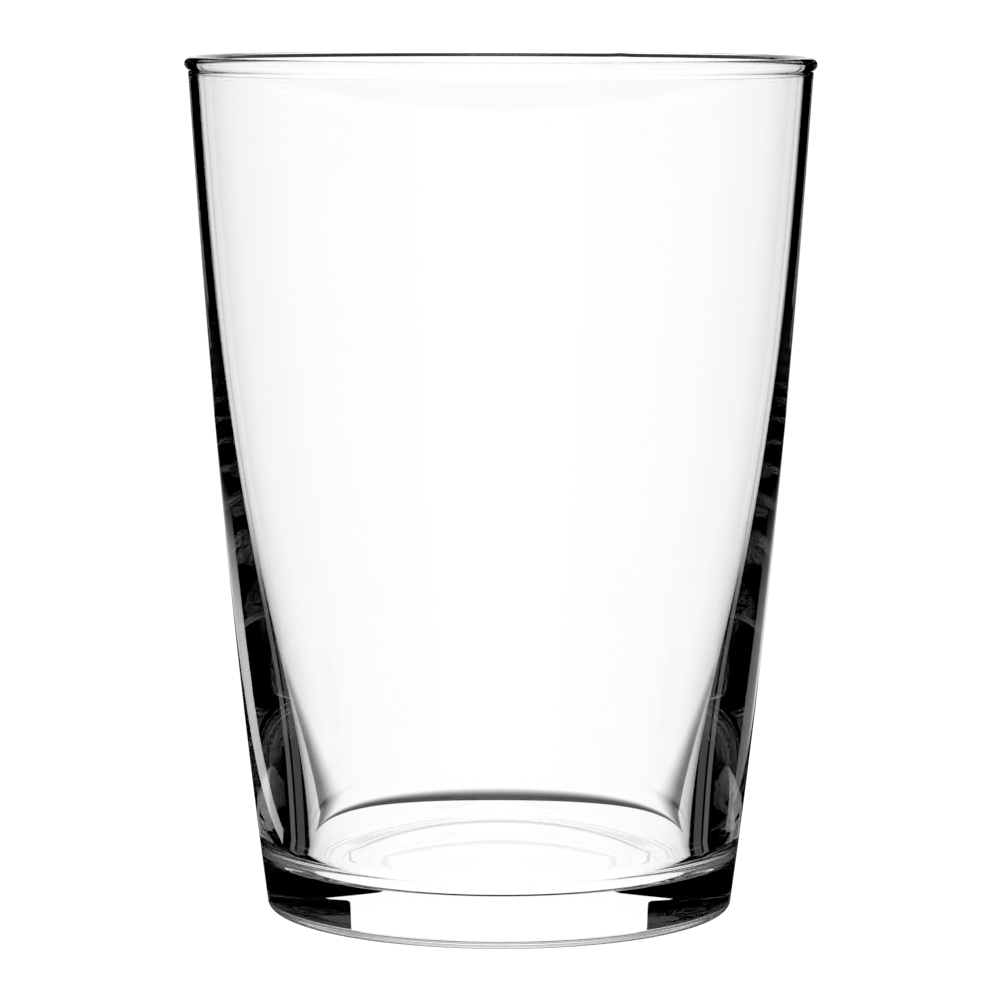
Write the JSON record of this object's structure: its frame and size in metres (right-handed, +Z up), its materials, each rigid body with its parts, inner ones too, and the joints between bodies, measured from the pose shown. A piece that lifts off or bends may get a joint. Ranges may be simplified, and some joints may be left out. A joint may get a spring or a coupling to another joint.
{
  "type": "mixing glass",
  "caption": "Tapered heavy-base mixing glass in clear glass, with a rounded lip, a gently curved wall and a thick foot.",
  "frame": {"origin": "centre of the foot, in the plane that the glass stands on", "axes": "+Z up along the axis of revolution, from the foot to the mouth"},
  "size_m": [0.0884, 0.0884, 0.12],
  "materials": {
    "glass": "clear, fire-polished"
  },
  "bodies": {
    "root": {"glass_body": "glass"}
  },
  "joints": []
}
